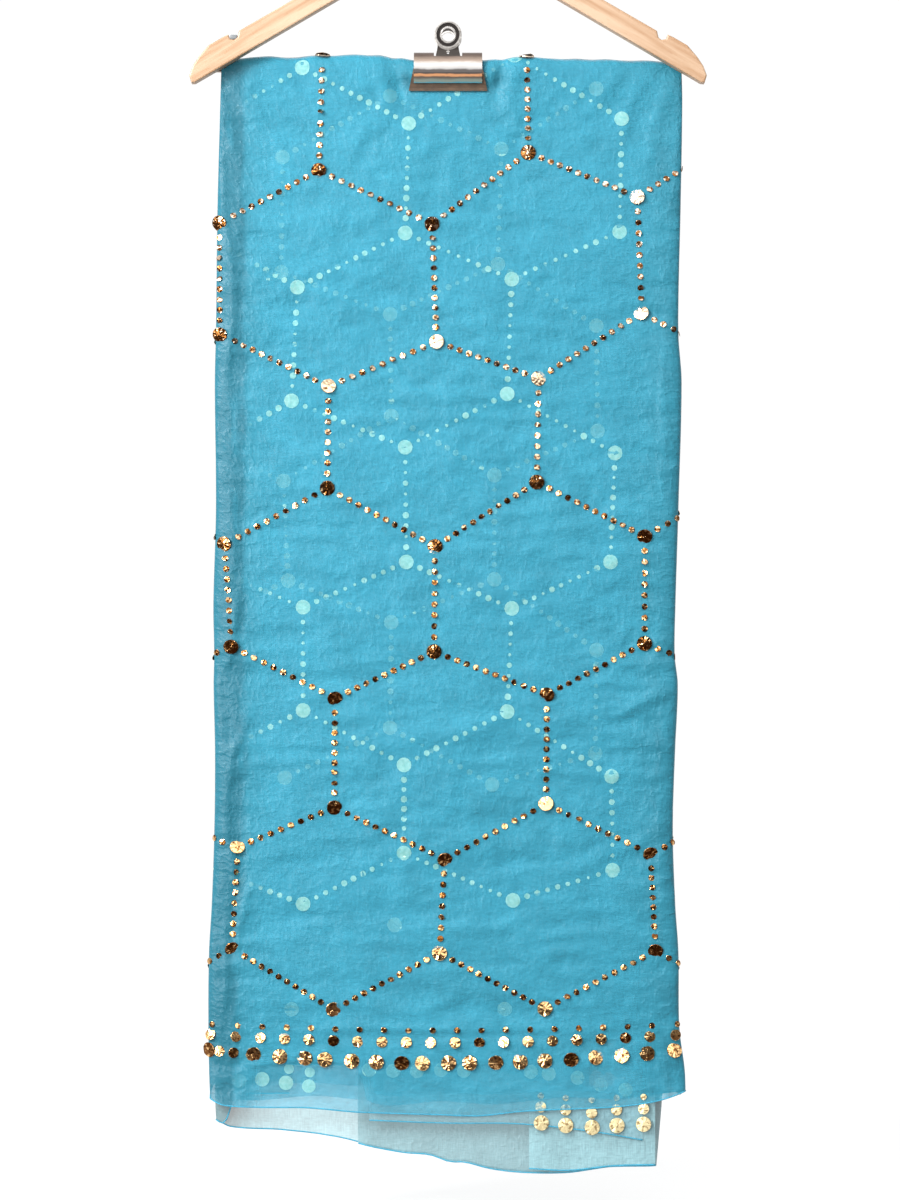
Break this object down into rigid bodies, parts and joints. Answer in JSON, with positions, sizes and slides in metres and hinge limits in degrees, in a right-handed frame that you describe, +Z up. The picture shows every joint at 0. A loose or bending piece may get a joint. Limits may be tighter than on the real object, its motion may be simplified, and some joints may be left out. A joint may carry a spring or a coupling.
{
  "type": "organza saree folded on a wooden hanger",
  "caption": "Sheer saree with a sequin honeycomb net, folded lengthwise over the bar of a wooden hanger and held by a sprung clip.",
  "frame": {"origin": "inside of the hook's crown, at the middle of the wire, where a rail carries the hanger", "axes": "+Z up, +X to the right seen from the front, -Y towards the viewer, out of the bordered front of the cloth"},
  "size_m": [0.445, 0.0333, 1.1642],
  "materials": {
    "organza": "sheer turquoise organza with gold sequins",
    "beech": "clear satin lacquer",
    "steel": "polished chrome plate",
    "clip_plate": "polished nickel plate"
  },
  "bodies": {
    "root": {"front_stretch": "organza", "back_stretch": "organza", "hidden_layers": "organza", "middle_end": "organza", "bordered_end": "organza", "hanger_arm_left": "beech", "hanger_arm_right": "beech", "hanger_hook": "steel", "trouser_bar": "steel", "clip_jaw_front": "clip_plate", "clip_jaw_back": "clip_plate", "clip_spring": "clip_plate"}
  },
  "joints": []
}
